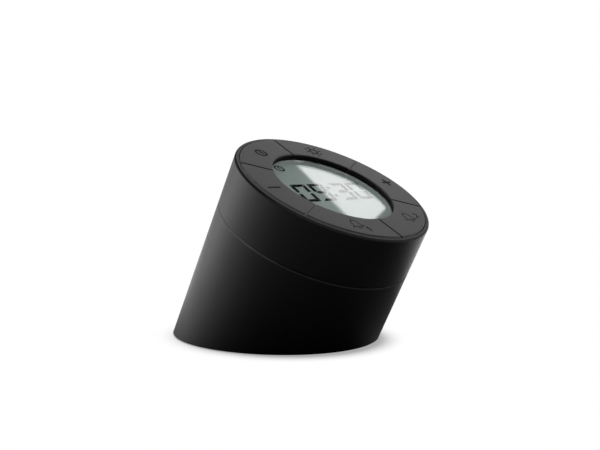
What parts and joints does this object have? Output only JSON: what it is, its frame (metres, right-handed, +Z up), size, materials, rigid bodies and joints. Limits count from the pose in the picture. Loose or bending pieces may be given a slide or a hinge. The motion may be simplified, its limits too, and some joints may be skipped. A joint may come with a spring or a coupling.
{
  "type": "digital clock timer",
  "caption": "Leaning round desk clock and timer with a recessed round display, a ring of press keys round it and a battery door in its base.",
  "frame": {"origin": "middle of the footprint of the object's box, on the surface that it stands on", "axes": "+Z up; the body leans toward -Y, where the reader is; +X is the right of the display as it is read"},
  "size_m": [0.08, 0.1132, 0.0811],
  "materials": {
    "shell": "fine soft-touch matt",
    "base_shell": "fine soft-touch matt",
    "plate": "fine matt moulding",
    "door": "fine matt moulding",
    "keys": "soft-touch matt with printed symbols",
    "foot_rubber": "matt rubber",
    "screws": "zinc plated",
    "window": "clear and glossy",
    "display_glass": "grey-green reflective",
    "clear_guide": "clear",
    "white_film": "matt white",
    "lamp": "clear resin",
    "strip_rubber": "soft conductive rubber",
    "keypad_rubber": "matt silicone",
    "carbon": "matt carbon",
    "board": "solder mask",
    "resin": "cured resin",
    "can": "plain",
    "sounder": "matt moulding",
    "cell_jacket": "glossy plain jacket",
    "contacts": "nickel plated"
  },
  "bodies": {
    "housing": {"head_housing": "shell", "base_housing": "base_shell", "base_plate": "plate", "foot_ring": "foot_rubber", "base_screws": "screws", "housing_screws": "screws", "board_screws": "screws", "display_window": "window", "lcd_front_glass": "display_glass", "lcd_rear_glass": "display_glass", "light_guide": "clear_guide", "reflector_film": "white_film", "backlight_lamps": "lamp", "elastomer_strip": "strip_rubber", "silicone_keypad": "keypad_rubber", "contact_pills": "carbon", "main_board": "board", "controller_chip": "resin", "crystal": "can", "piezo_buzzer": "sounder", "battery_cells": "cell_jacket", "contact_plates": "contacts", "contact_springs": "contacts"},
    "key_clock": {"key_clock": "keys"},
    "key_light": {"key_light": "keys"},
    "key_plus": {"key_plus": "keys"},
    "key_alarm_2": {"key_alarm_2": "keys"},
    "key_alarm_1": {"key_alarm_1": "keys"},
    "key_minus": {"key_minus": "keys"},
    "battery_door": {"battery_door": "door", "door_screws": "screws"}
  },
  "joints": [
    {"name": "key_clock_press", "type": "slide", "parent": "housing", "child": "key_clock", "axis": [0, 0.4695, -0.8829], "range_m": [0, 0.0006], "stiffness_N_per_m": 800, "deforming": ["silicone_keypad"]},
    {"name": "key_light_press", "type": "slide", "parent": "housing", "child": "key_light", "axis": [0, 0.4695, -0.8829], "range_m": [0, 0.0006], "stiffness_N_per_m": 800, "deforming": ["silicone_keypad"]},
    {"name": "key_plus_press", "type": "slide", "parent": "housing", "child": "key_plus", "axis": [0, 0.4695, -0.8829], "range_m": [0, 0.0006], "stiffness_N_per_m": 800, "deforming": ["silicone_keypad"]},
    {"name": "key_alarm_2_press", "type": "slide", "parent": "housing", "child": "key_alarm_2", "axis": [0, 0.4695, -0.8829], "range_m": [0, 0.0006], "stiffness_N_per_m": 800, "deforming": ["silicone_keypad"]},
    {"name": "key_alarm_1_press", "type": "slide", "parent": "housing", "child": "key_alarm_1", "axis": [0, 0.4695, -0.8829], "range_m": [0, 0.0006], "stiffness_N_per_m": 800, "deforming": ["silicone_keypad"]},
    {"name": "key_minus_press", "type": "slide", "parent": "housing", "child": "key_minus", "axis": [0, 0.4695, -0.8829], "range_m": [0, 0.0006], "stiffness_N_per_m": 800, "deforming": ["silicone_keypad"]},
    {"name": "battery_door_lift_off", "type": "slide", "parent": "housing", "child": "battery_door", "axis": [0, 0, -1], "range_m": [0, 0.018]}
  ]
}
